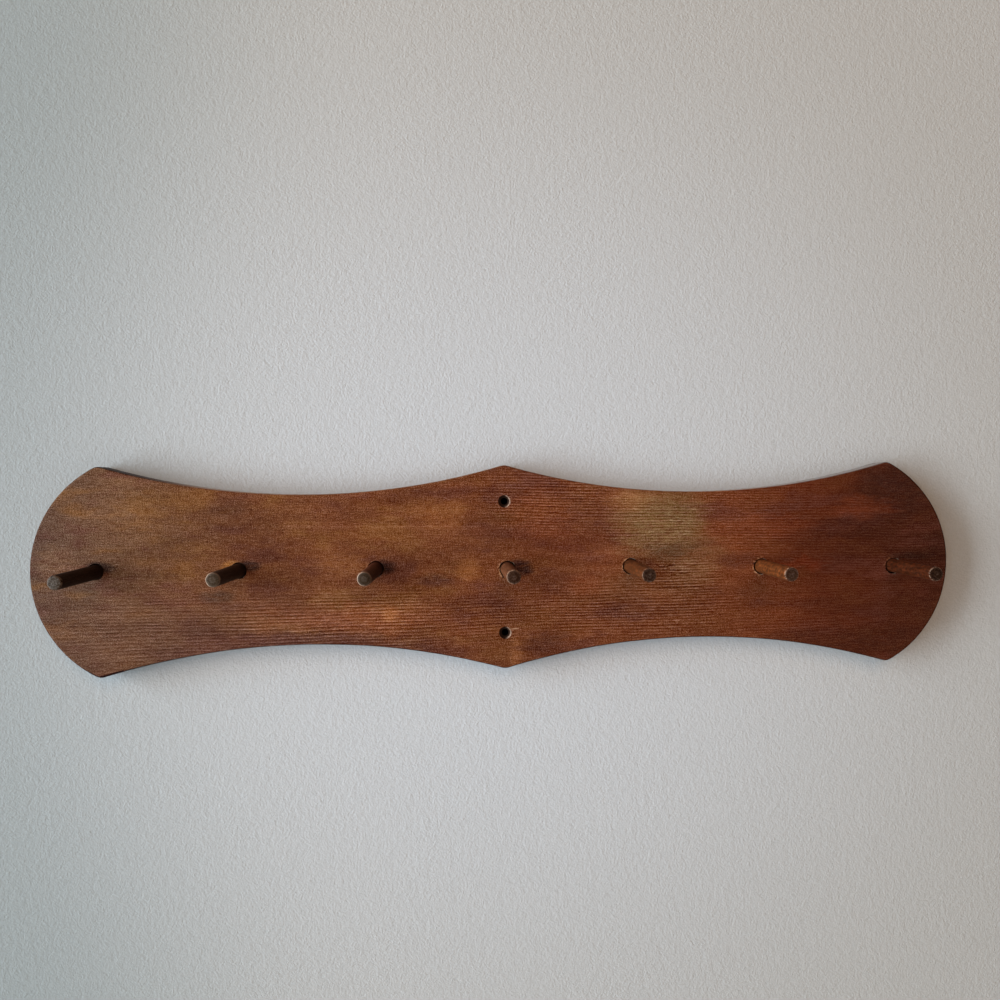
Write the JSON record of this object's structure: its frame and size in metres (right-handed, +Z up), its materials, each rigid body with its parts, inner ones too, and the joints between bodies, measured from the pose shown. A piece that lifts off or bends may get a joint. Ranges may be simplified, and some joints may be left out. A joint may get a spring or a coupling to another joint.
{
  "type": "peg rack",
  "caption": "Wall-mounted wooden peg rack: a long scalloped plank with rounded ends and a row of plain round dowel pegs.",
  "frame": {"origin": "the middle of the plank's back face, which is the wall plane", "axes": "+X along the plank to the right as seen from the front, +Z up, +Y into the wall, so the pegs stand out along -Y"},
  "size_m": [0.816, 0.0761, 0.1826],
  "materials": {
    "stained_plank": "satin",
    "stained_dowel": "satin"
  },
  "bodies": {
    "root": {"board": "stained_plank", "peg_1": "stained_dowel", "peg_2": "stained_dowel", "peg_3": "stained_dowel", "peg_4": "stained_dowel", "peg_5": "stained_dowel", "peg_6": "stained_dowel", "peg_7": "stained_dowel"}
  },
  "joints": []
}
